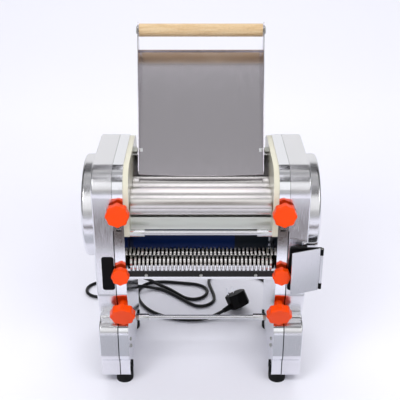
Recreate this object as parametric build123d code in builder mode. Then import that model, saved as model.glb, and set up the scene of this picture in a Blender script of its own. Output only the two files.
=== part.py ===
from build123d import *
import math
import os

os.makedirs("parts", exist_ok=True)

# Electric pasta maker: two gear housings carry a pair of plain rollers above a pair of noodle
# cutters, with a motor behind them. All sizes are in millimetres, +Z is up, +X is to the right
# and the front faces -Y. Side profiles are drawn with a first coordinate that runs back from
# the housings' front face and a second that is the height above the table.

# Housings
front_face_y = -134.0
housing_depth = 220.0
housing_height = 428.0
foot_height = 19.0
neck_height = 194.0
notch_depth = 20.0
notch_height = 138.0
lobe_reach = 9.0
lobe_top = 133.0
lobe_low = 66.0
lobe_base = 54.0
front_top_radius = 47.0
rear_top_radius = 50.0
neck_radius = 14.0
notch_radius = 7.0
lobe_radius = 22.0
lobe_low_radius = 18.0
bottom_radius = 8.0

roller_length = 240.0
roller_end_gap = 0.5
frame_thickness = 9.0
case_wall = 4.0
case_width = 17.5
case_rim = 1.5
cover_width = 35.0
cover_sheet = 1.2
disc_radius = 91.0
disc_height = 20.0
disc_front_inset = 4.0
disc_top_inset = 11.2
disc_edge_radius = 5.0
frame_inset = 2.0
frame_bottom = 305.5
frame_back_inset = 15.0

frame_back = housing_depth - frame_back_inset
frame_face = roller_length / 2 + roller_end_gap
case_face = frame_face + frame_thickness
case_inside = case_face + case_wall
cover_face = case_face + case_width
cover_outside = cover_face + cover_width
disc_outside = cover_outside + disc_height
disc_back = disc_front_inset + disc_radius
disc_up = housing_height - disc_top_inset - disc_radius
knob_line_x = case_face + case_width / 2

# Fits
running_gap = 0.05
screw_gap = 0.1
free_gap = 0.3
part_gap = 0.6

# Rollers and cutters, as distances back and heights
roller_spacing = 51.0
roller_gap = 0.3
roller_up = 352.0
front_roller_back = 49.5
rear_roller_back = front_roller_back + roller_spacing
roller_radius = (roller_spacing - roller_gap) / 2
roller_journal_radius = 8.0
roller_travel = 2.4
cutter_spacing = 27.0
cutter_up = 239.0
front_cutter_back = 38.0
rear_cutter_back = front_cutter_back + cutter_spacing
cutter_radius = 15.0
cutter_core_radius = 11.5
cutter_pitch = 7.2
cutter_count = 35
cutter_side_gap = 0.15
cutter_journal_radius = 6.0
bush_thickness = 4.0

# Gears
drive_module = 2.0
pinion_teeth = 12
large_teeth = 50
small_teeth = 16
drive_teeth = 50
sync_module = 1.5
sync_teeth = 34
idler_teeth = 54
cutter_teeth = 18
gear_backlash = 0.35
gear_width = 11.0
drive_width = 15.0
gear_wall_gap = 0.6
gear_layer_gap = 3.0
stud_radius = 8.0
stud_flange_radius = 11.5
stud_flange = 3.0

# Motor
motor_back = 150.0
motor_up = 240.0
motor_radius = 50.0
motor_left = -124.0
motor_right = 62.0
cowl_right = 125.0
motor_shell = 4.0
cowl_shell = 2.0
motor_shaft_radius = 5.0
motor_shaft_end_gap = 12.0
motor_spigot_radius = 30.0
pinion_hole_radius = 15.0

# Knobs
gap_knob_radius = 20.2
gap_knob_thickness = 14.0
gap_knob_front = 20.0
gap_knob_hub = 9.5
gap_knob_up = 356.0
gap_screw_radius = 4.0
gap_screw_depth = 19.5
clamp_knob_radius = 15.8
clamp_knob_thickness = 11.0
clamp_knob_front = 17.0
clamp_knob_hub = 7.5
base_knob_radius = 22.4
base_knob_thickness = 14.0
base_knob_rise = 24.8
base_knob_reach = 24.0
base_knob_hub = 9.0
knob_stud_radius = 3.0

# Chute and rod
chute_low_back = 92.0
chute_low_up = 385.0
chute_top_back = 293.0
chute_top_up = 553.0
chute_low_width = 219.0
chute_top_width = 233.0
chute_sheet = 1.5
chute_low_flange = 12.0
chute_high_flange = 50.0
chute_bow = 3.0
chute_lip = 5.0
rod_radius = 12.0
rod_along = 278.0
rod_lift = 43.5
strap_radius = 15.0
rod_end_gap = 1.0
rod_screw_radius = 3.0
pivot_along = 48.3
pivot_radius = 4.0
pivot_ear_radius = 9.0

# Switch
switch_low = 213.0
switch_high = 290.0
switch_left = 151.0
switch_right = 202.0
switch_front = 4.5
opening_left = 149.5
opening_right = 171.0
opening_low = 205.0
opening_high = 271.0
opening_radius = 5.0
guard_low = 211.0
guard_high = 292.0
guard_hinge_x = 205.0
guard_hinge_front = 7.0
guard_width = 56.0
guard_sheet = 1.5
guard_angle = 20.0
guard_pin_radius = 1.5
cord_exit_x = 165.0
cord_exit_up = 45.0
gland_hole_radius = 8.0
rocker_width = 14.0
rocker_height = 30.0
rocker_x = 160.0
rocker_up = 238.0


# Sketches seen from the right: distance back, then height
def side_plane(x):
    return Plane(origin=(x, front_face_y, 0), x_dir=(0, 1, 0), z_dir=(1, 0, 0))


# Sketches seen from the front: X, then height
def front_plane(back):
    return Plane(origin=(0, front_face_y + back, 0), x_dir=(1, 0, 0), z_dir=(0, -1, 0))


def place(x, back, up):
    return (x, front_face_y + back, up)


# A plane across a knob's axis, which points forward and down by the tilt
def knob_plane(back, up, tilt, reach):
    angle = math.radians(tilt)
    out = (0, -math.cos(angle), -math.sin(angle))
    return Plane(origin=place(0, back, up), x_dir=(1, 0, 0), z_dir=out).offset(reach)


def save(builder, name):
    builder.part.label = name
    export_step(builder.part, f"parts/{name}.step")


def housing_outline(inset=0.0):
    corners = [
        (0, foot_height),
        (housing_depth, foot_height),
        (housing_depth, housing_height),
        (0, housing_height),
        (0, neck_height),
        (notch_depth, notch_height),
        (-lobe_reach, lobe_top),
        (-lobe_reach, lobe_low),
        (0, lobe_base),
    ]
    radii = [
        bottom_radius,
        bottom_radius,
        rear_top_radius,
        front_top_radius,
        neck_radius,
        notch_radius,
        lobe_radius,
        lobe_low_radius,
        lobe_low_radius,
    ]
    with BuildSketch(Plane.XY, mode=Mode.PRIVATE) as outline:
        with BuildLine():
            FilletPolyline(*corners, radius=radii, close=True)
        make_face()
        if inset:
            offset(amount=-inset, kind=Kind.INTERSECTION)
    return outline.sketch


# A round bar or bore that runs across the machine
def rod_along_x(radius, x_from, x_to, back, up, mode=Mode.ADD):
    with BuildSketch(side_plane(min(x_from, x_to))) as end_face:
        with Locations((back, up)):
            Circle(radius)
    extrude(end_face.sketch, amount=abs(x_to - x_from), mode=mode)


# A square block between pairs of limits
def block(x_from, x_to, back_from, back_to, up_from, up_to, mode=Mode.ADD):
    centre = place((x_from + x_to) / 2, (back_from + back_to) / 2, (up_from + up_to) / 2)
    with Locations(centre):
        Box(abs(x_to - x_from), back_to - back_from, up_to - up_from, mode=mode)


# The shaft centre that lies at two gear distances from two other shafts
def gear_centre(first, first_distance, second, second_distance, turn):
    back = second[0] - first[0]
    up = second[1] - first[1]
    apart = math.hypot(back, up)
    along = (first_distance**2 - second_distance**2 + apart**2) / (2 * apart)
    across = turn * math.sqrt(first_distance**2 - along**2)
    return (
        first[0] + (along * back - across * up) / apart,
        first[1] + (along * up + across * back) / apart,
    )


# How far the housings' front stands back at a height above the notch
def front_at(up):
    if up > neck_height:
        return 0
    return (neck_height - up) * notch_depth / (neck_height - notch_height)


# Base knobs stand square on the slope below the neck
slope_fall = neck_height - notch_height
base_knob_up = notch_height + base_knob_rise
base_knob_back = front_at(base_knob_up)
base_knob_tilt = math.degrees(math.atan2(notch_depth, slope_fall))

# Shaft centres
front_roller = (front_roller_back, roller_up)
rear_roller = (rear_roller_back, roller_up)
front_cutter = (front_cutter_back, cutter_up)
rear_cutter = (rear_cutter_back, cutter_up)
motor_centre = (motor_back, motor_up)
reduction_centre = gear_centre(
    rear_roller,
    drive_module * (small_teeth + drive_teeth) / 2,
    motor_centre,
    drive_module * (pinion_teeth + large_teeth) / 2,
    -1,
)
idler_centre = gear_centre(
    rear_roller,
    sync_module * (sync_teeth + idler_teeth) / 2,
    rear_cutter,
    sync_module * (idler_teeth + cutter_teeth) / 2,
    1,
)
print("reduction gear at", reduction_centre, "idler at", idler_centre)

# The sliding block of the front roller, and the slot it runs in
block_front = 30.0
block_back = 69.0
block_low = 334.0
block_high = 370.0
arm_front = 8.0
arm_height = 16.0
tab_depth = 10.0
slide_gap = 0.1
arm_low = gap_knob_up - arm_height / 2
arm_high = gap_knob_up + arm_height / 2

# Tie rods run through both housings
tie_rod_radius = 4.0
tie_rod_end_radius = 3.0
tie_rod_end = 10.0
sleeve_radius = 6.5
front_tie_spot = (11.0, 311.5)
lower_tie_spot = (31.0, 129.0)
tie_rear_inset = 15.0
tie_rear_up = 178.0
tie_motor_gap = 40.0
tie_motor_up = 300.0
tie_spots = [
    lower_tie_spot,
    (housing_depth - tie_rear_inset, tie_rear_up),
    (motor_back + tie_motor_gap, tie_motor_up),
]
front_sleeve_length = 25.0
lower_sleeve_length = 18.0
nut_size = 11.0
nut_thickness = 5.0

# Posts in the gear cases take the screws of the outer covers
post_inset = 22.0
post_top_drop = 28.0
post_rear_drop = 56.0
post_low = 58.0
post_spots = [
    (post_inset, housing_height - post_top_drop),
    (housing_depth - post_inset, housing_height - post_rear_drop),
    (housing_depth - post_inset, post_low),
    (post_inset, post_low),
]
post_radius = 5.0
cover_screw_radius = 2.0
cover_screw_depth = 20.0
screw_head_radius = 4.5
screw_head = 2.2
cover_edge_radius = 3.0
opening_cut = 8.0


def slot_cut(side, x_from, x_to):
    edges = sorted((side * x_from, side * x_to))
    main_front = block_front - roller_travel - free_gap
    block(*edges, main_front, block_back + free_gap, block_low - slide_gap, block_high + slide_gap,
          mode=Mode.SUBTRACT)
    arm_slot_front = arm_front - roller_travel - free_gap
    block(*edges, arm_slot_front, main_front + 1, arm_low - slide_gap, arm_high + slide_gap,
          mode=Mode.SUBTRACT)


# Roller frames: cream castings that carry the two rollers
frame_corner_radius = 7.0
for side, side_name in ((-1, "left"), (1, "right")):
    with BuildPart() as roller_frame:
        with BuildSketch(side_plane(side * frame_face)):
            with BuildLine():
                FilletPolyline(
                    (frame_inset, frame_bottom),
                    (frame_back, frame_bottom),
                    (frame_back, housing_height),
                    (frame_inset, housing_height),
                    radius=frame_corner_radius,
                    close=True,
                )
            make_face()
            add(housing_outline(frame_inset), mode=Mode.INTERSECT)
        extrude(amount=side * frame_thickness)
        rod_along_x(cutter_journal_radius * 2, side * frame_face, side * case_face, *rear_roller,
                    mode=Mode.SUBTRACT)
        rod_along_x(tie_rod_end_radius + running_gap, side * frame_face, side * case_face,
                    *front_tie_spot, mode=Mode.SUBTRACT)
        slot_cut(side, frame_face - 1, case_face + 1)
    save(roller_frame, f"{side_name}_roller_frame")
print("frames done")


# Gear cases: a stout wall with a polished rim, its front shaped round the knobs
bottom_stud_axis = knob_plane(base_knob_back, base_knob_up, base_knob_tilt, 0)
for side, side_name in ((-1, "left"), (1, "right")):
    with BuildPart() as gear_case:
        with BuildSketch(side_plane(side * case_face)):
            add(housing_outline())
        extrude(amount=side * case_width)
        with BuildSketch(side_plane(side * case_inside)):
            add(housing_outline(case_rim))
        extrude(amount=side * case_width, mode=Mode.SUBTRACT)
        for spot in post_spots:
            rod_along_x(post_radius, side * case_face, side * (cover_outside - cover_sheet), *spot)
        for spot in post_spots:
            rod_along_x(cover_screw_radius, side * (cover_outside - cover_screw_depth),
                        side * cover_outside, *spot, mode=Mode.SUBTRACT)
        wall = (side * (case_face - 1), side * (case_inside + 1))
        rod_along_x(cutter_journal_radius * 2, *wall, *rear_roller, mode=Mode.SUBTRACT)
        for spot in (front_cutter, rear_cutter):
            rod_along_x(cutter_journal_radius + bush_thickness, *wall, *spot, mode=Mode.SUBTRACT)
        for spot in [front_tie_spot] + tie_spots:
            rod_along_x(tie_rod_end_radius + running_gap, *wall, *spot, mode=Mode.SUBTRACT)
        stud_spot = reduction_centre if side < 0 else idler_centre
        rod_along_x(stud_radius, *wall, *stud_spot, mode=Mode.SUBTRACT)
        if side < 0:
            rod_along_x(pinion_hole_radius, *wall, *motor_centre, mode=Mode.SUBTRACT)
        slot_cut(side, case_face - 1, case_inside + 1)
        knob_holes = [
            (gap_knob_up, gap_screw_radius + screw_gap),
            (cutter_up, knob_stud_radius),
        ]
        for up, radius in knob_holes:
            with BuildSketch(front_plane(-1)):
                with Locations((side * knob_line_x, up)):
                    Circle(radius)
            extrude(amount=-4, mode=Mode.SUBTRACT)
        with BuildSketch(bottom_stud_axis.offset(4)):
            with Locations((side * knob_line_x, 0)):
                Circle(knob_stud_radius)
        extrude(amount=-10, mode=Mode.SUBTRACT)
    save(gear_case, f"{side_name}_gear_case")
print("gear cases done")

# Outer covers: brushed sheet boxes with a round pressed disc
for side, side_name in ((-1, "left"), (1, "right")):
    disc_spot = (disc_back, disc_up)
    with BuildPart() as outer_cover:
        with BuildSketch(side_plane(side * cover_face)):
            add(housing_outline())
        extrude(amount=side * cover_width)
        fillet(outer_cover.faces().sort_by(Axis.X)[-1 if side > 0 else 0].edges(), cover_edge_radius)
        rod_along_x(disc_radius, side * (cover_outside - 0.5), side * disc_outside, *disc_spot)
        disc_face = outer_cover.faces().sort_by(Axis.X)[-1 if side > 0 else 0]
        fillet(disc_face.edges(), disc_edge_radius)
        with BuildSketch(side_plane(side * (cover_face - 1))):
            add(housing_outline(cover_sheet))
        extrude(amount=side * (cover_width + 1 - cover_sheet), mode=Mode.SUBTRACT)
        rod_along_x(disc_radius - cover_sheet, side * (cover_outside - cover_sheet - 1),
                    side * (disc_outside - disc_edge_radius), *disc_spot, mode=Mode.SUBTRACT)
        rod_along_x(disc_radius - disc_edge_radius, side * (disc_outside - disc_edge_radius),
                    side * (disc_outside - cover_sheet), *disc_spot, mode=Mode.SUBTRACT)
        for spot in post_spots:
            rod_along_x(cover_screw_radius + screw_gap, side * (cover_outside - 5),
                        side * (cover_outside + 1), *spot, mode=Mode.SUBTRACT)
        with BuildSketch(front_plane(-1)):
            with Locations((side * (opening_left + opening_right) / 2,
                            (opening_low + opening_high) / 2)):
                RectangleRounded(opening_right - opening_left, opening_high - opening_low,
                                 opening_radius)
        extrude(amount=-opening_cut, mode=Mode.SUBTRACT)
        if side > 0:
            with BuildSketch(front_plane(housing_depth + 1)):
                with Locations((cord_exit_x, cord_exit_up)):
                    Circle(gland_hole_radius)
            extrude(amount=4, mode=Mode.SUBTRACT)
    save(outer_cover, f"{side_name}_outer_cover")
print("outer covers done")

# Screws of the outer covers
with BuildPart() as case_screws:
    for side in (-1, 1):
        for spot in post_spots:
            rod_along_x(cover_screw_radius, side * (cover_outside - cover_screw_depth + 2),
                        side * cover_outside, *spot)
            rod_along_x(screw_head_radius, side * cover_outside,
                        side * (cover_outside + screw_head), *spot)
save(case_screws, "case_screws")

# Rubber feet under the four corners, with a lip up the inside of each leg
foot_inner = 127.0
foot_width = 31.0
foot_length = 36.0
foot_front = 7.0
foot_lip_height = 32.0
foot_lip_inset = 8.0
foot_overlap = 2.0
foot_corner = 15.0
with BuildPart() as rubber_feet:
    for side in (-1, 1):
        for back in (foot_front, housing_depth - foot_front - foot_length):
            with BuildSketch(Plane.XY):
                with Locations((side * (foot_inner + foot_width / 2),
                                front_face_y + back + foot_length / 2)):
                    RectangleRounded(foot_width, foot_length, foot_corner)
            extrude(amount=foot_height)
            block(*sorted((side * foot_inner, side * case_face)), back + foot_lip_inset,
                  back + foot_length - foot_lip_inset, foot_height - foot_overlap, foot_lip_height)
save(rubber_feet, "rubber_feet")
print("feet done")

# Blanking panel behind the opening in the left cover
panel_margin = 2.5
panel_sheet = 2.0
panel_low = opening_low - panel_margin
panel_lean = math.radians(base_knob_tilt)
panel_front = front_at(panel_low) + cover_sheet / math.cos(panel_lean) + running_gap
with BuildPart() as left_blanking_panel:
    block(-opening_right - panel_margin, -cover_face - free_gap, panel_front,
          panel_front + panel_sheet, panel_low, opening_high + panel_margin)
save(left_blanking_panel, "left_blanking_panel")

# Tie rods, their end sleeves and nuts
with BuildPart() as front_tie_rod:
    rod_along_x(tie_rod_radius, -frame_face, frame_face, *front_tie_spot)
    rod_along_x(tie_rod_end_radius, -case_inside - tie_rod_end, case_inside + tie_rod_end,
                *front_tie_spot)
save(front_tie_rod, "front_tie_rod")

with BuildPart() as tie_rods:
    for spot in tie_spots:
        rod_along_x(tie_rod_radius, -case_face, case_face, *spot)
        rod_along_x(tie_rod_end_radius, -case_inside - tie_rod_end, case_inside + tie_rod_end, *spot)
save(tie_rods, "tie_rods")

lower_sleeve_outer = 112.5
with BuildPart() as tie_rod_sleeves:
    for side in (-1, 1):
        sleeves = [
            (front_tie_spot, frame_face - front_sleeve_length, frame_face),
            (lower_tie_spot, lower_sleeve_outer - lower_sleeve_length, lower_sleeve_outer),
        ]
        for spot, inner, outer in sleeves:
            rod_along_x(sleeve_radius, side * inner, side * outer, *spot)
            rod_along_x(tie_rod_radius + running_gap, side * inner, side * outer, *spot,
                        mode=Mode.SUBTRACT)
save(tie_rod_sleeves, "tie_rod_sleeves")


# A hexagon nut threaded along X
def nut_along_x(x_from, x_to, bore, back, up):
    with BuildSketch(side_plane(min(x_from, x_to))) as nut_face:
        with Locations((back, up)):
            RegularPolygon(nut_size / 2, 6, major_radius=False)
            if bore:
                Circle(bore, mode=Mode.SUBTRACT)
    extrude(nut_face.sketch, amount=abs(x_to - x_from))


with BuildPart() as tie_rod_nuts:
    for side in (-1, 1):
        for spot in [front_tie_spot] + tie_spots:
            nut_along_x(side * case_inside, side * (case_inside + nut_thickness),
                        tie_rod_end_radius + running_gap, *spot)
save(tie_rod_nuts, "tie_rod_nuts")

with BuildPart() as lower_rod_nuts:
    for side in (-1, 1):
        nut_along_x(side * (lower_sleeve_outer + free_gap),
                    side * (lower_sleeve_outer + free_gap + nut_thickness),
                    tie_rod_radius + running_gap, *lower_tie_spot)
save(lower_rod_nuts, "lower_rod_nuts")
print("tie rods done")

# Scraper bars lie under the rollers and peel off the dough
scraper_gap = 1.2
scraper_depth = 20.0
scraper_low = 43.0
scraper_bend = 12.0
with BuildPart() as scraper_bars:
    for roller, facing in ((front_roller, -1), (rear_roller, 1)):
        reach = roller_radius + scraper_gap
        bend_up = math.sqrt(reach**2 - (scraper_bend - roller_travel) ** 2)
        tip_up = math.sqrt(reach**2 - (scraper_depth - roller_travel) ** 2)
        points = [
            (0, -scraper_low),
            (0, -reach),
            (facing * scraper_bend, -bend_up),
            (facing * scraper_depth, -tip_up),
            (facing * scraper_depth, -scraper_low),
        ]
        with BuildSketch(side_plane(-frame_face)):
            with BuildLine():
                Polyline([(roller[0] + back, roller[1] + up) for back, up in points], close=True)
            make_face()
        extrude(amount=2 * frame_face)
save(scraper_bars, "scraper_bars")

# Comb under the front cutter: dark bar, bright comb behind it and a bright rail below
comb_bar_depth = 8.0
comb_bar_back = -5.0
comb_bar_low = 21.5
comb_clearance = 1.4
comb_sheet = 1.2
comb_base_top = 16.0
comb_tine_width = 2.6
comb_tine_front = 13.5
comb_tine_top = 1.0
comb_rail_height = 4.5
comb_screw_spacing = 96.5
comb_screw_radius = 2.0
comb_screw_head_radius = 2.8
comb_screw_down = 18.6
comb_bar_front = comb_bar_back - comb_bar_depth
disc_width = cutter_pitch / 2 - cutter_side_gap
bar_reach = cutter_radius + comb_clearance
bar_top_back = math.sqrt(bar_reach**2 - comb_bar_back**2)
bar_top_front = math.sqrt(bar_reach**2 - comb_bar_front**2)


def below_cutter(points):
    return [(front_cutter_back + back, cutter_up + up) for back, up in points]


def comb_screw_row(radius, back_from, back_to, mode=Mode.ADD):
    with BuildSketch(front_plane(back_from)) as row:
        with Locations((0, cutter_up - comb_screw_down)):
            with GridLocations(comb_screw_spacing, 0, 3, 1):
                Circle(radius)
    extrude(row.sketch, amount=back_from - back_to, mode=mode)


bar_face = front_cutter_back + comb_bar_front
comb_back = front_cutter_back + comb_bar_back + comb_sheet
with BuildPart() as comb_bar:
    with BuildSketch(side_plane(-case_face)):
        with BuildLine():
            Polyline(below_cutter([
                (comb_bar_front, -comb_bar_low),
                (comb_bar_back, -comb_bar_low),
                (comb_bar_back, -bar_top_back),
                (comb_bar_front, -bar_top_front),
            ]), close=True)
        make_face()
    extrude(amount=2 * case_face)
    comb_screw_row(comb_screw_radius, bar_face - 1, comb_back, mode=Mode.SUBTRACT)
save(comb_bar, "comb_bar")

with BuildPart() as cutter_comb:
    with BuildSketch(side_plane(-case_face + part_gap)):
        with BuildLine():
            Polyline(below_cutter([
                (comb_bar_back, -comb_bar_low),
                (comb_bar_back + comb_sheet, -comb_bar_low),
                (comb_bar_back + comb_sheet, -comb_base_top),
                (comb_bar_back, -comb_base_top),
            ]), close=True)
        make_face()
    extrude(amount=2 * (case_face - part_gap))
    for number in range(cutter_count - 1):
        tine_x = (number - (cutter_count - 2) / 2) * cutter_pitch
        with BuildSketch(side_plane(tine_x - comb_tine_width / 2)):
            with BuildLine():
                Polyline(below_cutter([
                    (comb_bar_back + comb_sheet, -comb_base_top),
                    (comb_bar_back, -comb_base_top),
                    (comb_bar_back, -bar_top_back + free_gap),
                    (-comb_tine_front, -bar_top_front + 2 * free_gap),
                    (-comb_tine_front, comb_tine_top),
                    (comb_bar_back + comb_sheet, comb_tine_top),
                ]), close=True)
            make_face()
            with Locations(front_cutter):
                Circle(cutter_core_radius + 0.5, mode=Mode.SUBTRACT)
        extrude(amount=comb_tine_width)
    comb_screw_row(comb_screw_radius, bar_face, comb_back + 1, mode=Mode.SUBTRACT)
save(cutter_comb, "cutter_comb")

with BuildPart() as comb_rail:
    block(-case_face, case_face, bar_face - 1, comb_back, cutter_up - comb_bar_low - comb_rail_height,
          cutter_up - comb_bar_low)
save(comb_rail, "comb_rail")

with BuildPart() as comb_screws:
    comb_screw_row(comb_screw_radius, bar_face, comb_back)
    comb_screw_row(comb_screw_head_radius, bar_face - 2, bar_face)
save(comb_screws, "comb_screws")
print("comb done")

# Gear layers beside the case walls
near_from = case_inside + gear_wall_gap
near_to = near_from + gear_width
far_from = near_to + gear_layer_gap
far_to = far_from + drive_width
shaft_end = near_to + 0.5

# Rollers
with BuildPart() as rear_roller_bar:
    rod_along_x(roller_radius, -roller_length / 2, roller_length / 2, *rear_roller)
    rod_along_x(roller_journal_radius, -far_to, shaft_end, *rear_roller)
save(rear_roller_bar, "rear_roller")

with BuildPart() as front_roller_bar:
    rod_along_x(roller_radius, -roller_length / 2, roller_length / 2, *front_roller)
    rod_along_x(roller_journal_radius, -case_inside, shaft_end, *front_roller)
save(front_roller_bar, "front_roller")

# Blocks that slide in the frames and carry the front roller, each with a tab for its gap screw
block_end_gap = 0.3
tab_outer = case_face + case_width - 1
with BuildPart() as roller_blocks:
    for side in (-1, 1):
        body = sorted((side * (frame_face + block_end_gap), side * case_inside))
        block(*body, block_front, block_back, block_low, block_high)
        block(*body, arm_front, block_front, arm_low, arm_high)
        block(*sorted((side * case_inside, side * tab_outer)), arm_front, arm_front + tab_depth,
              arm_low, arm_high)
        rod_along_x(roller_journal_radius + running_gap, side * frame_face, side * case_inside,
                    *front_roller, mode=Mode.SUBTRACT)
        with BuildSketch(front_plane(arm_front - 1)):
            with Locations((side * knob_line_x, gap_knob_up)):
                Circle(gap_screw_radius + running_gap)
        extrude(amount=-tab_depth - 2, mode=Mode.SUBTRACT)
save(roller_blocks, "roller_blocks")


# Noodle cutters: one turned bar each, with a row of discs that run between the other's discs
def cutter(centre, count, name):
    corners = [(-case_inside, 0), (-case_inside, cutter_journal_radius)]
    corners += [(-case_face + 1, cutter_journal_radius), (-case_face + 1, cutter_core_radius)]
    for number in range(count):
        middle = (number - (count - 1) / 2) * cutter_pitch
        start = middle - disc_width / 2
        end = middle + disc_width / 2
        corners += [(start, cutter_core_radius), (start, cutter_radius)]
        corners += [(end, cutter_radius), (end, cutter_core_radius)]
    corners += [(case_face - 1, cutter_core_radius), (case_face - 1, cutter_journal_radius)]
    corners += [(shaft_end, cutter_journal_radius), (shaft_end, 0)]
    axis_plane = Plane(origin=place(0, *centre), x_dir=(1, 0, 0), z_dir=(0, -1, 0))
    with BuildPart() as turned_bar:
        with BuildSketch(axis_plane):
            with BuildLine():
                Polyline(corners, close=True)
            make_face()
        revolve(axis=Axis(place(0, *centre), (1, 0, 0)))
    save(turned_bar, name)


cutter(front_cutter, cutter_count, "front_cutter")
cutter(rear_cutter, cutter_count + 1, "rear_cutter")
print("rollers and cutters done")


# Bushes that stay in the housings
def bush_ring(x_from, x_to, bore, outer, spot):
    rod_along_x(outer, x_from, x_to, *spot)
    rod_along_x(bore, x_from, x_to, *spot, mode=Mode.SUBTRACT)


with BuildPart() as roller_bushes:
    for side in (-1, 1):
        bush_ring(side * frame_face, side * case_inside, roller_journal_radius + running_gap,
                  cutter_journal_radius * 2, rear_roller)
save(roller_bushes, "roller_bushes")

with BuildPart() as cutter_bushes:
    for side in (-1, 1):
        for spot in (front_cutter, rear_cutter):
            bush_ring(side * case_face, side * case_inside, cutter_journal_radius + running_gap,
                      cutter_journal_radius + bush_thickness, spot)
save(cutter_bushes, "cutter_bushes")

with BuildPart() as gear_studs:
    for side, spot in ((-1, reduction_centre), (1, idler_centre)):
        rod_along_x(stud_radius, side * case_face, side * (far_to + 2), *spot)
        rod_along_x(stud_flange_radius, side * (case_face - stud_flange), side * case_face, *spot)
save(gear_studs, "gear_studs")
print("bushes and studs done")

# Spur gears with involute flanks
pressure_angle = math.radians(20)
tooth_tip = 0.9
tooth_root = 1.2
hub_radius = 14.0


def involute(radius, base_radius):
    roll = math.acos(min(1.0, base_radius / radius))
    return math.tan(roll) - roll


def tooth_points(teeth, module, phase):
    pitch_radius = module * teeth / 2
    base_radius = pitch_radius * math.cos(pressure_angle)
    tip_radius = pitch_radius + tooth_tip * module
    root_radius = pitch_radius - tooth_root * module
    low_radius = max(base_radius, root_radius + 0.1 * module)
    half = math.pi / (2 * teeth) - gear_backlash / (4 * pitch_radius)
    half += involute(pitch_radius, base_radius)
    flank = [(root_radius, half - involute(low_radius, base_radius))]
    for radius in (low_radius, (low_radius + tip_radius) / 2, tip_radius):
        flank.append((radius, half - involute(radius, base_radius)))
    points = []
    for number in range(teeth):
        middle = phase + 2 * math.pi * number / teeth
        points += [(radius, middle - angle) for radius, angle in flank]
        points += [(radius, middle + angle) for radius, angle in reversed(flank)]
    return [(radius * math.cos(angle), radius * math.sin(angle)) for radius, angle in points]


# The angle of one tooth on a second gear that meshes with the first
def mesh_phase(first_spot, first_teeth, first_phase, second_spot, second_teeth):
    line = math.atan2(second_spot[1] - first_spot[1], second_spot[0] - first_spot[0])
    turned = (first_phase - line) * first_teeth / second_teeth
    return line + math.pi - turned + math.pi / second_teeth


def toothed_wheel(x_from, x_to, spot, teeth, module, phase, bore):
    points = [(spot[0] + back, spot[1] + up) for back, up in tooth_points(teeth, module, phase)]
    with BuildSketch(side_plane(min(x_from, x_to))) as wheel_face:
        with BuildLine():
            Polyline(points, close=True)
        make_face()
        if bore:
            with Locations(spot):
                Circle(bore, mode=Mode.SUBTRACT)
    extrude(wheel_face.sketch, amount=abs(x_to - x_from))


# Drive train on the left: motor pinion, reduction gear, drive gear on the rear roller
small_phase = mesh_phase(rear_roller, drive_teeth, 0, reduction_centre, small_teeth)
pinion_phase = mesh_phase(reduction_centre, large_teeth, 0, motor_centre, pinion_teeth)
with BuildPart() as roller_drive_gear:
    toothed_wheel(-far_to, -far_from, rear_roller, drive_teeth, drive_module, 0,
                  roller_journal_radius)
save(roller_drive_gear, "roller_drive_gear")

stud_bore = stud_radius + running_gap
with BuildPart() as reduction_gear:
    toothed_wheel(-near_to, -near_from, reduction_centre, large_teeth, drive_module, 0, stud_bore)
    toothed_wheel(-far_to, -far_from, reduction_centre, small_teeth, drive_module, small_phase,
                  stud_bore)
    bush_ring(-far_from, -near_to, stud_bore, hub_radius, reduction_centre)
save(reduction_gear, "reduction_gear")

with BuildPart() as motor_shaft:
    toothed_wheel(-near_to, -near_from, motor_centre, pinion_teeth, drive_module, pinion_phase, 0)
    rod_along_x(motor_shaft_radius, -near_from, cowl_right - motor_shaft_end_gap,
                *motor_centre)
save(motor_shaft, "motor_shaft")

# Synchronizing gears on the right: rollers, idler and cutters
front_sync_phase = mesh_phase(rear_roller, sync_teeth, 0, front_roller, sync_teeth)
idler_phase = mesh_phase(rear_roller, sync_teeth, 0, idler_centre, idler_teeth)
rear_cutter_phase = mesh_phase(idler_centre, idler_teeth, idler_phase, rear_cutter, cutter_teeth)
front_cutter_phase = mesh_phase(rear_cutter, cutter_teeth, rear_cutter_phase, front_cutter,
                                cutter_teeth)
sync_gears = [
    ("rear_roller_gear", rear_roller, sync_teeth, 0, roller_journal_radius),
    ("front_roller_gear", front_roller, sync_teeth, front_sync_phase, roller_journal_radius),
    ("idler_gear", idler_centre, idler_teeth, idler_phase, stud_bore),
    ("rear_cutter_gear", rear_cutter, cutter_teeth, rear_cutter_phase, cutter_journal_radius),
    ("front_cutter_gear", front_cutter, cutter_teeth, front_cutter_phase, cutter_journal_radius),
]
for name, spot, teeth, phase, bore in sync_gears:
    with BuildPart() as sync_gear:
        toothed_wheel(near_from, near_to, spot, teeth, sync_module, phase, bore)
    save(sync_gear, name)
print("gears done")

# Motor: blue shell with a spigot on the left housing, black fan cowl, terminal box on top
cowl_slots = 12
cowl_slot_length = 20.0
cowl_slot_width = 5.0
cowl_slot_radius = 30.0
cowl_slot_depth = 15.0
cowl_corner = 6.0
cowl_step = 7.0
shaft_hole = motor_shaft_radius + running_gap
with BuildPart() as motor_body:
    rod_along_x(motor_radius, motor_left, motor_right, *motor_centre)
    rod_along_x(motor_spigot_radius, -case_face, motor_left, *motor_centre)
    rod_along_x(motor_radius - motor_shell, motor_left + motor_shell, motor_right - motor_shell,
                *motor_centre, mode=Mode.SUBTRACT)
    rod_along_x(shaft_hole, -case_face - 1, motor_right + 1, *motor_centre, mode=Mode.SUBTRACT)
save(motor_body, "motor_body")

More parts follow.
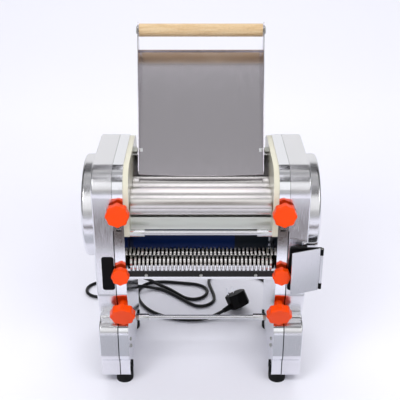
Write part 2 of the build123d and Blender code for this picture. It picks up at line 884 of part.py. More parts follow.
with BuildPart() as motor_fan_cowl:
    rod_along_x(motor_radius, motor_right, cowl_right, *motor_centre)
    fillet(motor_fan_cowl.faces().sort_by(Axis.X)[-1].edges(), cowl_corner)
    rod_along_x(motor_radius - cowl_shell, motor_right - 1, cowl_right - cowl_corner,
                *motor_centre, mode=Mode.SUBTRACT)
    rod_along_x(motor_radius - cowl_step, cowl_right - cowl_step, cowl_right - cowl_shell,
                *motor_centre, mode=Mode.SUBTRACT)
    with BuildSketch(side_plane(cowl_right - cowl_step)):
        with Locations(motor_centre):
            with PolarLocations(cowl_slot_radius, cowl_slots):
                SlotOverall(cowl_slot_length, cowl_slot_width)
    extrude(amount=cowl_slot_depth, mode=Mode.SUBTRACT)
save(motor_fan_cowl, "motor_fan_cowl")

terminal_box_height = 30.0
terminal_box_left = -70.0
terminal_box_length = 70.0
terminal_box_half = 24.0
terminal_box_corner = 4.0
terminal_box_right = terminal_box_left + terminal_box_length
terminal_box_top = motor_up + motor_radius + terminal_box_height
with BuildPart() as terminal_box:
    block(terminal_box_left, terminal_box_right, motor_back - terminal_box_half,
          motor_back + terminal_box_half, motor_up, terminal_box_top)
    fillet(terminal_box.edges().filter_by(Axis.Z), terminal_box_corner)
    rod_along_x(motor_radius, terminal_box_left - 1, terminal_box_right + 1, *motor_centre,
                mode=Mode.SUBTRACT)
save(terminal_box, "terminal_box")

# Rear cover sheet between the housings
rear_sheet = 1.2
rear_cover_gap = 16.0
rear_cover_low = 150.0
rear_cover_drop = 40.0
rear_cover_slope = 14.0
rear_cover_front = 142.0
rear_cover_bend = 12.0
rear_notch_front = 100.0
rear_notch_gap = 2.0
rear_cover_back = motor_back + motor_radius + rear_cover_gap
rear_cover_up = housing_height - rear_cover_drop
with BuildPart() as rear_cover:
    with BuildSketch(side_plane(-case_face)):
        with BuildLine() as rear_path:
            FilletPolyline((rear_cover_back, rear_cover_low), (rear_cover_back, rear_cover_up),
                           (rear_cover_front, rear_cover_up + rear_cover_slope),
                           radius=rear_cover_bend)
        trace(rear_path.line, line_width=rear_sheet)
    extrude(amount=2 * case_face)
    for side in (-1, 1):
        block(*sorted((side * (frame_face - free_gap), side * (case_face + 1))), rear_notch_front,
              frame_back + rear_notch_gap, frame_bottom, housing_height, mode=Mode.SUBTRACT)
save(rear_cover, "rear_cover")
print("motor done")

# Knobs: eight shallow lobes, a hub behind and a bore for the screw or stud
knob_lobes = 8
knob_hub_gap = 0.4
knob_lobe_share = 0.3
knob_core_share = 0.92
knob_valley_share = 0.1
knob_edge_share = 0.12


def lobed_knob(face_plane, x, radius, thickness, hub, reach, bore, name):
    lobe = knob_lobe_share * radius
    front_axis = Axis(face_plane.origin, face_plane.z_dir)
    with BuildPart() as knob:
        with BuildSketch(face_plane) as lobed_face:
            with Locations((x, 0)):
                Circle(knob_core_share * radius)
                with PolarLocations(radius - lobe, knob_lobes, start_angle=90):
                    Circle(lobe)
            fillet(lobed_face.vertices(), knob_valley_share * radius)
        extrude(amount=-thickness)
        fillet(knob.faces().sort_by(front_axis)[-1].edges(), knob_edge_share * radius)
        with BuildSketch(face_plane.offset(-thickness)):
            with Locations((x, 0)):
                Circle(hub)
        extrude(amount=thickness - reach)
        with BuildSketch(face_plane.offset(-thickness / 3)):
            with Locations((x, 0)):
                Circle(bore)
        extrude(amount=-reach, mode=Mode.SUBTRACT)
    save(knob, name)


gap_plane = knob_plane(0, gap_knob_up, 0, gap_knob_front)
clamp_plane = knob_plane(0, cutter_up, 0, clamp_knob_front)
base_plane = knob_plane(base_knob_back, base_knob_up, base_knob_tilt, base_knob_reach)
for side, side_name in ((-1, "left"), (1, "right")):
    knob_x = side * knob_line_x
    lobed_knob(gap_plane, knob_x, gap_knob_radius, gap_knob_thickness, gap_knob_hub,
               gap_knob_front - knob_hub_gap, gap_screw_radius, f"{side_name}_gap_knob")
    lobed_knob(clamp_plane, knob_x, clamp_knob_radius, clamp_knob_thickness, clamp_knob_hub,
               clamp_knob_front - knob_hub_gap, knob_stud_radius + running_gap,
               f"{side_name}_clamp_knob")
    lobed_knob(base_plane, knob_x, base_knob_radius, base_knob_thickness, base_knob_hub,
               base_knob_reach - knob_hub_gap, knob_stud_radius + running_gap,
               f"{side_name}_base_knob")
    with BuildPart() as gap_screw:
        with BuildSketch(gap_plane.offset(-gap_knob_thickness / 3)):
            with Locations((knob_x, 0)):
                Circle(gap_screw_radius)
        extrude(amount=gap_knob_thickness / 3 - gap_knob_front - gap_screw_depth)
    save(gap_screw, f"{side_name}_gap_screw")

# Fixed studs that the clamp and base knobs screw onto
stud_inside = 7.0
with BuildPart() as knob_studs:
    for side in (-1, 1):
        for plane, reach, thickness in (
            (clamp_plane, clamp_knob_front, clamp_knob_thickness),
            (base_plane, base_knob_reach, base_knob_thickness),
        ):
            with BuildSketch(plane.offset(-thickness / 3 - free_gap)):
                with Locations((side * knob_line_x, 0)):
                    Circle(knob_stud_radius)
            extrude(amount=thickness / 3 + free_gap - reach - stud_inside)
save(knob_studs, "knob_studs")
print("knobs done")

# Chute: flat plate that leans back, with side flanges that run up to the rod
chute_rise = chute_top_up - chute_low_up
chute_run = chute_top_back - chute_low_back
chute_length = math.hypot(chute_rise, chute_run)
chute_angle = math.atan2(chute_rise, chute_run)
chute_plane = Plane(
    origin=place(0, chute_low_back, chute_low_up),
    x_dir=(1, 0, 0),
    z_dir=(0, -math.sin(chute_angle), math.cos(chute_angle)),
)
half_low = chute_low_width / 2
half_top = chute_top_width / 2
flange_slant = math.atan2(half_top - half_low, chute_length)
strap_x = half_low + rod_along * math.tan(flange_slant) - chute_sheet
rod_screw_reach = 30.0
flange_shoulder = 40.0


# A point of the chute, from its distance across, along and above the plate
def on_chute(across, along, above):
    return chute_plane.from_local_coords(Vector(across, along, above))


def chute_bar(radius, across_from, across_to, along, above, mode=Mode.ADD):
    start = on_chute(min(across_from, across_to), along, above)
    with BuildSketch(Plane(origin=start, x_dir=(0, 1, 0), z_dir=(1, 0, 0))) as end_face:
        Circle(radius)
    extrude(end_face.sketch, amount=abs(across_to - across_from), mode=mode)


with BuildPart() as feed_chute:
    with BuildSketch(chute_plane):
        with BuildLine():
            Line((half_low, 0), (half_top, chute_length))
            Line((half_top, chute_length), (-half_top, chute_length))
            Line((-half_top, chute_length), (-half_low, 0))
            ThreePointArc((-half_low, 0), (0, -chute_bow), (half_low, 0))
        make_face()
    extrude(amount=chute_sheet)
    with BuildSketch(chute_plane):
        with Locations((0, chute_length - chute_sheet / 2)):
            Rectangle(2 * half_top - 2 * chute_sheet, chute_sheet)
    extrude(amount=chute_lip)
    for side in (-1, 1):
        corner = on_chute(side * half_low, 0, 0)
        along = on_chute(side * half_top, chute_length, 0) - corner
        outward = along.cross(chute_plane.z_dir)
        with BuildSketch(Plane(origin=corner, x_dir=along, z_dir=outward)):
            with BuildLine():
                Polyline(
                    (0, 0),
                    (0, chute_low_flange),
                    (rod_along - flange_shoulder, chute_high_flange),
                    (rod_along, rod_lift + strap_radius),
                    (rod_along + strap_radius / 2, rod_lift),
                    (rod_along, rod_lift - strap_radius),
                    (chute_length, rod_lift / 2),
                    (chute_length, 0),
                    close=True,
                )
            make_face()
            with Locations((rod_along, rod_lift)):
                Circle(strap_radius)
            with Locations((pivot_along, 0)):
                Circle(pivot_ear_radius)
        extrude(amount=-side * chute_sheet)
        chute_bar(pivot_radius + running_gap, side * (half_low - 6), side * half_top,
                  pivot_along, 0, mode=Mode.SUBTRACT)
        chute_bar(rod_screw_radius, side * (strap_x - 5), side * (half_top + 5), rod_along,
                  rod_lift, mode=Mode.SUBTRACT)
save(feed_chute, "feed_chute")

rod_half = strap_x - rod_end_gap
with BuildPart() as wooden_rod:
    chute_bar(rod_radius, -rod_half, rod_half, rod_along, rod_lift)
    for side in (-1, 1):
        chute_bar(rod_screw_radius + running_gap, side * (rod_half - rod_screw_reach),
                  side * (rod_half + 1), rod_along, rod_lift, mode=Mode.SUBTRACT)
save(wooden_rod, "wooden_rod")

rod_screw_head_radius = 7.0
rod_screw_head = 2.5
with BuildPart() as rod_screws:
    for side in (-1, 1):
        outside = strap_x + chute_sheet + free_gap
        chute_bar(rod_screw_radius, side * (rod_half - rod_screw_reach + 2), side * outside,
                  rod_along, rod_lift)
        chute_bar(rod_screw_head_radius, side * outside, side * (outside + rod_screw_head),
                  rod_along, rod_lift)
save(rod_screws, "rod_screws")

# Chute pivots: bolts in the roller frames with a hexagon shoulder
pivot_spot = (
    chute_low_back + pivot_along * math.cos(chute_angle),
    chute_low_up + pivot_along * math.sin(chute_angle),
)
pivot_shoulder = 7.0
with BuildPart() as chute_pivot_bolts:
    for side in (-1, 1):
        rod_along_x(pivot_radius, side * (half_low - chute_sheet), side * frame_face, *pivot_spot)
        nut_along_x(side * (frame_face - pivot_shoulder), side * frame_face, 0, *pivot_spot)
save(chute_pivot_bolts, "chute_pivot_bolts")
print("chute done")

# Switch box in the opening of the right cover, with a pocket for the rocker
switch_fit = 0.6
switch_depth = 38.0
pocket_depth = 12.0
rocker_pivot_back = 4.0
rocker_pin_radius = 1.5
rocker_pin = 1.2
knuckle_radius = 3.0
knuckle_height = 11.0
opening_x = (opening_left + opening_right) / 2
opening_up = (opening_low + opening_high) / 2
hinge = (guard_hinge_x, -guard_hinge_front)


def upright_plane(up):
    return Plane(origin=place(*hinge, up), x_dir=(-1, 0, 0), z_dir=(0, 0, 1))


with BuildPart() as switch_box:
    block(switch_left, switch_right, -switch_front, 0, switch_low, switch_high)
    fillet(switch_box.edges().filter_by(Axis.Y), 4)
    with BuildSketch(front_plane(0)):
        with Locations((opening_x, opening_up)):
            RectangleRounded(opening_right - opening_left - 2 * switch_fit,
                             opening_high - opening_low - 2 * switch_fit,
                             opening_radius - switch_fit)
    extrude(amount=-switch_depth)
    for low in (switch_low, switch_high - knuckle_height):
        with BuildSketch(upright_plane(low)):
            Circle(knuckle_radius)
            with Locations((knuckle_radius, -(guard_hinge_front - switch_front / 2))):
                Rectangle(2 * knuckle_radius, switch_front)
            with Locations((0, -(guard_hinge_front - switch_front / 2) / 2)):
                Rectangle(2 * knuckle_radius, guard_hinge_front - switch_front / 2)
        extrude(amount=knuckle_height)
    with BuildSketch(upright_plane(switch_low - 1)):
        Circle(guard_pin_radius)
    extrude(amount=switch_high - switch_low + 2, mode=Mode.SUBTRACT)
    block(rocker_x - rocker_width / 2 - free_gap, rocker_x + rocker_width / 2 + free_gap,
          -switch_front - 1, pocket_depth, rocker_up - rocker_height / 2 - free_gap,
          rocker_up + rocker_height / 2 + free_gap, mode=Mode.SUBTRACT)
    rod_along_x(rocker_pin_radius + running_gap, rocker_x - rocker_width / 2 - rocker_pin - free_gap,
                rocker_x + rocker_width / 2 + rocker_pin + free_gap, rocker_pivot_back, rocker_up,
                mode=Mode.SUBTRACT)
save(switch_box, "switch_box")

rocker_face = 6.5
rocker_dip = 1.5
rocker_tail = 5.0
rocker_half = rocker_height / 2 - 1
with BuildPart() as switch_rocker:
    with BuildSketch(side_plane(rocker_x - rocker_width / 2)):
        with BuildLine():
            Polyline([
                (rocker_pivot_back - rocker_face, rocker_up - rocker_half),
                (rocker_pivot_back - rocker_face + rocker_dip, rocker_up),
                (rocker_pivot_back - rocker_face, rocker_up + rocker_half),
                (rocker_pivot_back + rocker_tail, rocker_up + rocker_half - rocker_tail),
                (rocker_pivot_back + rocker_tail, rocker_up - rocker_half + rocker_tail),
            ], close=True)
        make_face()
    extrude(amount=rocker_width)
    rod_along_x(rocker_pin_radius, rocker_x - rocker_width / 2 - rocker_pin,
                rocker_x + rocker_width / 2 + rocker_pin, rocker_pivot_back, rocker_up)
save(switch_rocker, "switch_rocker")

# Switch guard: bent plate on a hinge pin, drawn ajar
barrel_gap = 0.5
guard_turn = 180 + guard_angle


def guard_plane(up):
    angle = math.radians(guard_turn)
    return Plane(origin=place(*hinge, up), x_dir=(math.cos(angle), math.sin(angle), 0),
                 z_dir=(0, 0, 1))


barrel_low = switch_low + knuckle_height + barrel_gap
barrel_high = switch_high - knuckle_height - barrel_gap
with BuildPart() as switch_guard:
    with BuildSketch(guard_plane(guard_low)):
        with Locations(((guard_width + knuckle_radius) / 2 + free_gap, 0)):
            Rectangle(guard_width - knuckle_radius - 2 * free_gap, guard_sheet)
    extrude(amount=guard_high - guard_low)
    with BuildSketch(guard_plane(barrel_low)):
        Circle(knuckle_radius)
        with Locations((knuckle_radius, 0)):
            Rectangle(2 * knuckle_radius, guard_sheet)
    extrude(amount=barrel_high - barrel_low)
    with BuildSketch(guard_plane(guard_low - 1)):
        Circle(guard_pin_radius + running_gap)
    extrude(amount=guard_high - guard_low + 2, mode=Mode.SUBTRACT)
save(switch_guard, "switch_guard")

with BuildPart() as guard_hinge_pin:
    with BuildSketch(upright_plane(switch_low)):
        Circle(guard_pin_radius)
    extrude(amount=switch_high - switch_low)
save(guard_hinge_pin, "guard_hinge_pin")
print("switch done")

# Strain relief of the mains cord in the rear of the right cover
cord_radius = 3.5
gland_length = 26.0
gland_flange_radius = 11.0
gland_flange = 4.0
gland_tip_radius = 5.0
exit_back = housing_depth + gland_length
gland_profile = [
    (-4, 0),
    (-4, gland_hole_radius),
    (0, gland_hole_radius),
    (0, gland_flange_radius),
    (gland_flange, gland_flange_radius),
    (gland_flange, gland_hole_radius),
    (gland_length, gland_tip_radius),
    (gland_length, 0),
]
gland_axis = Plane(origin=place(cord_exit_x, housing_depth, cord_exit_up), x_dir=(0, 1, 0),
                   z_dir=(1, 0, 0))
with BuildPart() as cord_gland:
    with BuildSketch(gland_axis):
        with BuildLine():
            Polyline(gland_profile, close=True)
        make_face()
    revolve(axis=Axis(gland_axis.origin, (0, 1, 0)))
save(cord_gland, "cord_gland")

# Mains cord on the table, from the plug to the strain relief, as X, distance back and height
floor = cord_radius + 0.1
hump = floor + 4 * cord_radius
cord_route = [
    (48.5, 232.5, 11.2),
    (30.5, 219.8, 7.5),
    (8, 211, 4.6),
    (-18, 208, floor),
    (-50, 212, floor),
    (-84, 225, floor),
    (-112, 246, floor),
    (-132, 277, floor),
    (-141, 311, floor),
    (-136, 341, floor),
    (-114, 362, floor),
    (-80, 364, floor),
    (-42, 358, floor),
    (-5, 352, floor),
    (14, 334.5, floor),
    (14, 308, floor),
    (-4, 290, floor),
    (-30, 290, floor),
    (-53, 314, floor),
    (-74, 336, floor),
    (-97, 350, 5),
    (-113, 356, 12),
    (-133, 361, hump),
    (-156, 364, hump),
    (-181, 365, 9),
    (-206, 365, floor),
    (-235, 361, floor),
    (-254, 343, floor),
    (-254, 317, floor),
    (-236, 299, floor),
    (-204, 298, floor),
    (-178, 305, 9),
    (-154, 318, hump),
    (-132, 331, 12),
    (-110, 336, 5),
    (-89, 331, floor),
    (-71, 318.5, floor),
    (-50, 299, floor),
    (-14, 262, floor),
    (11, 262, floor),
    (29.5, 281, floor),
    (29.5, 306, floor),
    (23, 334, floor),
    (17, 362, floor),
    (22, 387, floor),
    (42, 402, floor),
    (70, 404, floor),
    (100, 399, floor),
    (128, 386, floor),
    (151, 363, floor),
    (163, 332, 12),
    (cord_exit_x, 304, 33),
    (cord_exit_x, 274, cord_exit_up),
    (cord_exit_x, exit_back, cord_exit_up),
]
cord_points = [Vector(*place(*point)) for point in cord_route]
cord_runs = [after - before for before, after in zip(cord_points, cord_points[1:])]
cord_radii = []
for before, after in zip(cord_runs, cord_runs[1:]):
    half_turn = math.radians(before.get_angle(after)) / 2
    cord_radii.append(0.45 * min(before.length, after.length) / math.tan(half_turn))
print("cord bend radii", [round(radius) for radius in cord_radii])
print("cord runs", [round(run.length) for run in cord_runs])

with BuildPart() as mains_cord:
    with BuildLine() as cord_path:
        FilletPolyline(*cord_points, radius=cord_radii)
    start = Plane(origin=cord_points[0], z_dir=cord_runs[0])
    with BuildSketch(start):
        Circle(cord_radius)
    sweep(path=cord_path.line)
save(mains_cord, "mains_cord")
cord_length = sum(edge.length for edge in cord_path.edges())
section = math.pi * cord_radius**2
print("cord length", cord_length, "volume ratio", mains_cord.part.volume / (section * cord_length))

# Plug with two flat pins: it rests on the rim of its back, with the pins turned up
plug_height = 30.0
plug_corner = 4.0
plug_top_edge = 2.5
plug_bottom_edge = 1.5
plug_outline = [(19, -10), (19, 10), (7, 21), (-14, 20), (-23, 8), (-23, -8), (-14, -20), (7, -21)]
pin_width = 6.3
pin_thickness = 1.5
pin_length = 17.0
pin_spacing = 12.7
pin_shift = 5.0
pin_turn = math.radians(40)
relief_radius = 7.0
relief_length = 25.0
relief_up = 8.2
relief_reach = 38.0
relief_end = cord_points[0]
plug_side = cord_runs[0].normalized()
plug_across = Vector(-0.39, 0.3, 0.87).cross(plug_side).normalized()
plug_lean = plug_side.cross(plug_across)
plug_base = relief_end - plug_side * relief_reach - plug_lean * relief_up
relief_plane = Plane(origin=relief_end, x_dir=plug_lean, z_dir=plug_side)
with BuildPart() as mains_plug:
    with BuildSketch(Plane(origin=plug_base, x_dir=plug_side, z_dir=plug_lean)):
        with BuildLine():
            FilletPolyline(*plug_outline, radius=plug_corner, close=True)
        make_face()
    extrude(amount=plug_height)
    along_lean = mains_plug.faces().sort_by(Axis(plug_base, plug_lean))
    fillet(along_lean[-1].edges(), plug_top_edge)
    fillet(along_lean[0].edges(), plug_bottom_edge)
    with BuildSketch(relief_plane):
        Circle(cord_radius + 1)
    with BuildSketch(relief_plane.offset(-relief_length)):
        Circle(relief_radius)
    loft()
save(mains_plug, "mains_plug")
print("plug rests at", mains_plug.part.bounding_box().min.Z)

with BuildPart() as plug_pins:
    pin_along = plug_across * math.cos(pin_turn) - plug_side * math.sin(pin_turn)
    pin_start = plug_base + plug_lean * plug_height + plug_side * pin_shift
    with BuildSketch(Plane(origin=pin_start, x_dir=pin_along, z_dir=plug_lean)):
        with GridLocations(pin_spacing, 0, 2, 1):
            Rectangle(pin_thickness, pin_width)
    extrude(amount=pin_length)
save(plug_pins, "plug_pins")
print("cord and plug done")
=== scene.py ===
import bpy
import math
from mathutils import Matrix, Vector


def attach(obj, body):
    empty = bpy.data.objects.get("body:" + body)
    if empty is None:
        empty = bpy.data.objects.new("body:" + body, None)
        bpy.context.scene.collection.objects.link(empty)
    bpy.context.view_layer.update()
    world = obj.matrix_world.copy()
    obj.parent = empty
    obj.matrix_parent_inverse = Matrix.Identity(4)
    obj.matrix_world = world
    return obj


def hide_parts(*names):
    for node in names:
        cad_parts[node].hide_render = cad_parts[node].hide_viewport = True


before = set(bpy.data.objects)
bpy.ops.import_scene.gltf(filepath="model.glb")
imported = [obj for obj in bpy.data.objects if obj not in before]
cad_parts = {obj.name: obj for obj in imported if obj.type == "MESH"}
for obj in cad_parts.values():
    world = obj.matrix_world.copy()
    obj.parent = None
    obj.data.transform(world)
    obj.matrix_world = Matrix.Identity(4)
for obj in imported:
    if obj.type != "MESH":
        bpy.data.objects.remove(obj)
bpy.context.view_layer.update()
print("frame loaded")

# Where the machine stands: its front face in Y, metres
frontY = -0.134


def place(x, back, up):
    return Vector((x / 1000, frontY + back / 1000, up / 1000))


# Materials

def hexColor(text):
    parts = [int(text[i:i + 2], 16) / 255 for i in (0, 2, 4)]
    linear = [c / 12.92 if c <= 0.04045 else ((c + 0.055) / 1.055) ** 2.4 for c in parts]
    return (*linear, 1)


def addNode(tree, kind, settings=None, links=None):
    # Settings go to sockets or properties of the new node, links to its sockets
    node = tree.nodes.new(kind)
    for key, value in (settings or {}).items():
        if key in node.inputs:
            node.inputs[key].default_value = value
        else:
            setattr(node, key, value)
    for key, socket in (links or {}).items():
        tree.links.new(socket, node.inputs[key])
    return node


def newMaterial(name, settings):
    material = bpy.data.materials.new(name)
    material.use_nodes = True
    shader = material.node_tree.nodes["Principled BSDF"]
    for key, value in settings.items():
        shader.inputs[key].default_value = value
    return material, material.node_tree, shader


def rampStops(node, stops):
    ramp = node.color_ramp
    while len(ramp.elements) > 1:
        ramp.elements.remove(ramp.elements[-1])
    ramp.elements[0].position = stops[0][0]
    ramp.elements[0].color = stops[0][1]
    for position, color in stops[1:]:
        ramp.elements.new(position).color = color


def grey(value):
    return (value, value, value, 1)


# Base colours, sRGB hex
colors = {
    "creamEnamel": "DCD9C6",
    "brushedStainless": "D8D8DC",
    "coverStainless": "E8E8EC",
    "polishedStainless": "F0F1F6",
    "chuteMirror": "D2CED4",
    "groundSteel": "E4E1DF",
    "chromePlate": "E2E3E6",
    "zincPlate": "B9BAB4",
    "aluminium": "F0F4EC",
    "blackPaint": "08080A",
    "motorBlue": "002460",
    "slatePaint": "18222C",
    "blackAbs": "0A0A0C",
    "orangeAbs": "FF4A00",
    "rubber": "0D0E10",
    "cordPvc": "0D0F14",
    "bronze": "B98A4E",
    "beech": "DDBE92",
}


# Coordinates in millimetres, stretched along an axis for brushing and grain
def stretched(tree, scale):
    coord = addNode(tree, "ShaderNodeTexCoord")
    return addNode(tree, "ShaderNodeMapping", {"Scale": scale}, {"Vector": coord.outputs["Object"]})


def metal(name, color, roughness, spread, scale, grain, bump, anisotropy=0.0):
    # Fine streaks or specks in roughness and height, as a worked metal has
    material, tree, shader = newMaterial(name, {
        "Base Color": hexColor(color), "Metallic": 1.0, "Anisotropic": anisotropy})
    mapping = stretched(tree, scale)
    noise = addNode(tree, "ShaderNodeTexNoise", {"Scale": grain, "Detail": 3.0, "Roughness": 0.6},
                    {"Vector": mapping.outputs["Vector"]})
    spreadNode = addNode(tree, "ShaderNodeMapRange", {
        "From Min": 0.3, "From Max": 0.7, "To Min": roughness - spread, "To Max": roughness + spread},
        {"Value": noise.outputs["Fac"]})
    tree.links.new(spreadNode.outputs["Result"], shader.inputs["Roughness"])
    height = addNode(tree, "ShaderNodeBump", {"Strength": bump, "Distance": 0.0002},
                     {"Height": noise.outputs["Fac"]})
    tree.links.new(height.outputs["Normal"], shader.inputs["Normal"])
    return material


def molded(name, color, roughness, grain, bump, coat=0.0, tint=0.06, shine=0.3):
    # Moulded or painted surface: faint mottling in colour and a fine skin in height
    material, tree, shader = newMaterial(name, {
        "Roughness": roughness, "Coat Weight": coat, "Coat Roughness": 0.12,
        "Specular IOR Level": shine})
    mapping = stretched(tree, (1, 1, 1))
    mottle = addNode(tree, "ShaderNodeTexNoise", {"Scale": 28.0, "Detail": 4.0},
                     {"Vector": mapping.outputs["Vector"]})
    ramp = addNode(tree, "ShaderNodeValToRGB", links={"Fac": mottle.outputs["Fac"]})
    base = hexColor(color)
    rampStops(ramp, [(0.3, (*[c * (1 - tint) for c in base[:3]], 1)),
                     (0.7, (*[min(1, c * (1 + tint)) for c in base[:3]], 1))])
    tree.links.new(ramp.outputs["Color"], shader.inputs["Base Color"])
    skin = addNode(tree, "ShaderNodeTexNoise", {"Scale": grain, "Detail": 2.0},
                   {"Vector": mapping.outputs["Vector"]})
    height = addNode(tree, "ShaderNodeBump", {"Strength": bump, "Distance": 0.0002},
                     {"Height": skin.outputs["Fac"]})
    tree.links.new(height.outputs["Normal"], shader.inputs["Normal"])
    return material


def shade(tree, shader, mask, color):
    # Paint a colour into the base where the mask is 1, over a plain base colour
    mixed = addNode(tree, "ShaderNodeMix", {"data_type": "RGBA"})
    tree.links.new(mask, mixed.inputs[0])
    mixed.inputs[6].default_value = shader.inputs["Base Color"].default_value[:]
    mixed.inputs[7].default_value = hexColor(color)
    tree.links.new(mixed.outputs[2], shader.inputs["Base Color"])


def mathNode(tree, operation, first, second=None):
    # Each operand is a number or another node's output
    node = addNode(tree, "ShaderNodeMath", {"operation": operation})
    for socket, value in zip(node.inputs, (first, second)):
        if value is None:
            continue
        if isinstance(value, (int, float)):
            socket.default_value = value
        else:
            tree.links.new(value, socket)
    return node.outputs[0]


def brushedSteel(name):
    return metal(name, colors[name], 0.22, 0.06, (1, 1, 0.03), 1800.0, 0.08, 0.3)


def coverSteel():
    # Brushed cover sheet, with a painted shadow: the seam gap beside the polished strip is painted
    # dark
    material = brushedSteel("coverStainless")
    tree = material.node_tree
    shader = tree.nodes["Principled BSDF"]
    coord = addNode(tree, "ShaderNodeTexCoord")
    split = addNode(tree, "ShaderNodeSeparateXYZ", links={"Vector": coord.outputs["Object"]})
    side = mathNode(tree, "ABSOLUTE", split.outputs["X"])
    # Painted shadow band, 1.2 mm wider below 0.32 m
    low = mathNode(tree, "LESS_THAN", split.outputs["Z"], 0.32)
    edge = mathNode(tree, "ADD", mathNode(tree, "MULTIPLY", low, 0.0012), 0.1475)
    shade(tree, shader, mathNode(tree, "LESS_THAN", side, edge), "26262A")
    return material


def cutterSteel(name, back, up):
    # Ground cutter discs: bright tops, with painted shade: the grooves between them are painted dark
    # toward the axis
    material = metal(name, colors["groundSteel"], 0.2, 0.05, (1, 1, 1), 900.0, 0.03)
    tree = material.node_tree
    shader = tree.nodes["Principled BSDF"]
    coord = addNode(tree, "ShaderNodeTexCoord")
    split = addNode(tree, "ShaderNodeSeparateXYZ", links={"Vector": coord.outputs["Object"]})
    spot = place(0, back, up)
    offBack = mathNode(tree, "SUBTRACT", split.outputs["Y"], spot.y)
    offUp = mathNode(tree, "SUBTRACT", split.outputs["Z"], spot.z)
    squares = mathNode(tree, "ADD", mathNode(tree, "MULTIPLY", offBack, offBack),
                       mathNode(tree, "MULTIPLY", offUp, offUp))
    # Painted shade: everything within 13.8 mm of the cutter axis is painted near-black
    shade(tree, shader, mathNode(tree, "LESS_THAN", mathNode(tree, "SQRT", squares), 0.0138),
          "1C1A18")
    return material


def turnedBeech():
    # Beech rod, turned and lightly lacquered: straight grain along X with short dark flecks
    material, tree, shader = newMaterial("turnedBeech", {"Roughness": 0.42, "Coat Weight": 0.25})
    grain = stretched(tree, (6, 90, 90))
    bands = addNode(tree, "ShaderNodeTexNoise", {"Scale": 3.0, "Detail": 6.0, "Distortion": 0.6},
                    {"Vector": grain.outputs["Vector"]})
    ramp = addNode(tree, "ShaderNodeValToRGB", links={"Fac": bands.outputs["Fac"]})
    rampStops(ramp, [(0.3, hexColor("CFAC7C")), (0.5, hexColor(colors["beech"])),
                     (0.72, hexColor("E6CDA4"))])
    flecks = stretched(tree, (60, 700, 700))
    specks = addNode(tree, "ShaderNodeTexNoise", {"Scale": 3.0, "Detail": 1.0},
                     {"Vector": flecks.outputs["Vector"]})
    fleckRamp = addNode(tree, "ShaderNodeValToRGB", links={"Fac": specks.outputs["Fac"]})
    rampStops(fleckRamp, [(0.3, grey(0.72)), (0.42, grey(1.0))])
    mixed = addNode(tree, "ShaderNodeMix", {"data_type": "RGBA", "blend_type": "MULTIPLY"})
    mixed.inputs[0].default_value = 1.0
    tree.links.new(ramp.outputs["Color"], mixed.inputs[6])
    tree.links.new(fleckRamp.outputs["Color"], mixed.inputs[7])
    tree.links.new(mixed.outputs[2], shader.inputs["Base Color"])
    height = addNode(tree, "ShaderNodeBump", {"Strength": 0.15, "Distance": 0.0003},
                     {"Height": bands.outputs["Fac"]})
    tree.links.new(height.outputs["Normal"], shader.inputs["Normal"])
    return material


def makeMaterials():
    made = {
        # Cast frame under cream gloss enamel: smooth, with a faint orange peel
        "creamEnamel": molded("creamEnamel", colors["creamEnamel"], 0.32, 900.0, 0.12, coat=0.3,
                              tint=0.02),
        # Stainless sheet with a vertical brushed grain about 0.3 mm wide
        "brushedStainless": brushedSteel("brushedStainless"),
        # Cover sheet: brushed stainless with a painted shadow in the seam gap beside the strip
        "coverStainless": coverSteel(),
        # Stainless strip, polished: clear reflections with faint haze
        "polishedStainless": metal("polishedStainless", colors["polishedStainless"], 0.12, 0.03,
                                   (1, 1, 1), 240.0, 0.02),
        "chuteMirror": metal("chuteMirror", colors["chuteMirror"], 0.17, 0.02, (1, 0.3, 0.3), 160.0,
                             0.015),
        # Rollers and cutters, cylindrically ground: fine rings round the axis
        "groundSteel": metal("groundSteel", colors["groundSteel"], 0.24, 0.03, (1, 0.02, 0.02),
                             900.0, 0.02),
        # Cutters: ground steel with painted shade darkening the grooves toward the axis
        "frontCutterSteel": cutterSteel("frontCutterSteel", 38, 239),
        "rearCutterSteel": cutterSteel("rearCutterSteel", 65, 239),
        "chromePlate": metal("chromePlate", colors["chromePlate"], 0.08, 0.02, (1, 1, 1), 300.0,
                             0.01),
        "zincPlate": metal("zincPlate", colors["zincPlate"], 0.34, 0.08, (1, 1, 1), 700.0, 0.08),
        # Extruded aluminium bar with drawing lines along its length
        "extrudedAluminium": metal("extrudedAluminium", colors["aluminium"], 0.42, 0.06,
                                   (0.02, 1, 1), 1600.0, 0.1),
        "blackPaint": molded("blackPaint", colors["blackPaint"], 0.3, 1200.0, 0.1, shine=0.4),
        "motorBlue": molded("motorBlue", colors["motorBlue"], 0.4, 900.0, 0.12, shine=0.2),
        "slatePaint": molded("slatePaint", colors["slatePaint"], 0.45, 900.0, 0.15, shine=0.2),
        "blackAbs": molded("blackAbs", colors["blackAbs"], 0.5, 1500.0, 0.25, shine=0.12),
        # Knobs: glossy injection moulded ABS
        "orangeAbs": molded("orangeAbs", colors["orangeAbs"], 0.28, 600.0, 0.04, tint=0.03,
                            shine=0.28),
        "rubber": molded("rubber", colors["rubber"], 0.7, 1400.0, 0.3, shine=0.2),
        "cordPvc": molded("cordPvc", colors["cordPvc"], 0.4, 1200.0, 0.15, shine=0.35),
        "bronze": metal("bronze", colors["bronze"], 0.38, 0.08, (1, 1, 1), 900.0, 0.1),
        "turnedBeech": turnedBeech(),
    }
    return made


materials = makeMaterials()
print("materials made")

